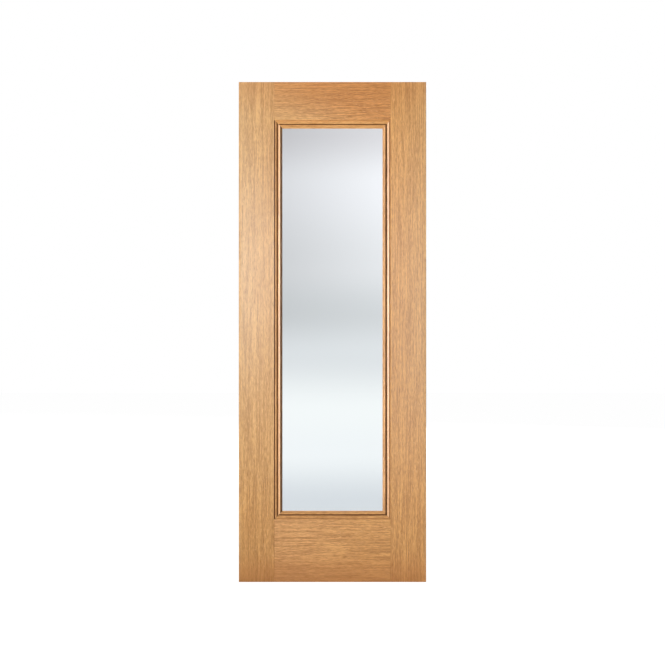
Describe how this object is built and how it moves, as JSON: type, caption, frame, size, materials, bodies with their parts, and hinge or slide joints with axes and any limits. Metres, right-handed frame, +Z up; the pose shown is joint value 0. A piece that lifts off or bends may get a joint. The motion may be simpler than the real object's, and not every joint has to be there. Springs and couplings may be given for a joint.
{
  "type": "glazed interior door leaf",
  "caption": "Flat oak-veneered interior door leaf with one tall clear pane, held by mitred double-ridge glazing mouldings; hinges and latch are fitted to its long edges.",
  "frame": {"origin": "on the hinge edge, at the foot of the leaf and the middle of its thickness", "axes": "+X from the hinge edge to the lock edge, +Y from the front face to the back face, +Z up"},
  "size_m": [0.762, 0.035, 2.032],
  "materials": {
    "oak_veneer": "satin",
    "solid_oak": "satin",
    "core_timber": "matte",
    "clear_glass": "polished",
    "glazing_tape": "matte"
  },
  "bodies": {
    "root": {"back_bottom_bead": "solid_oak", "back_glazing_tape": "glazing_tape", "back_left_bead": "solid_oak", "back_right_bead": "solid_oak", "back_top_bead": "solid_oak", "bottom_moulding": "solid_oak", "bottom_rail_back_facing": "oak_veneer", "bottom_rail_core": "core_timber", "bottom_rail_front_facing": "oak_veneer", "front_bottom_bead": "solid_oak", "front_glazing_tape": "glazing_tape", "front_left_bead": "solid_oak", "front_right_bead": "solid_oak", "front_top_bead": "solid_oak", "glass_pane": "clear_glass", "left_edge_lipping": "solid_oak", "left_moulding": "solid_oak", "left_stile_back_facing": "oak_veneer", "left_stile_core": "core_timber", "left_stile_front_facing": "oak_veneer", "right_edge_lipping": "solid_oak", "right_moulding": "solid_oak", "right_stile_back_facing": "oak_veneer", "right_stile_core": "core_timber", "right_stile_front_facing": "oak_veneer", "top_moulding": "solid_oak", "top_rail_back_facing": "oak_veneer", "top_rail_core": "core_timber", "top_rail_front_facing": "oak_veneer"}
  },
  "joints": []
}
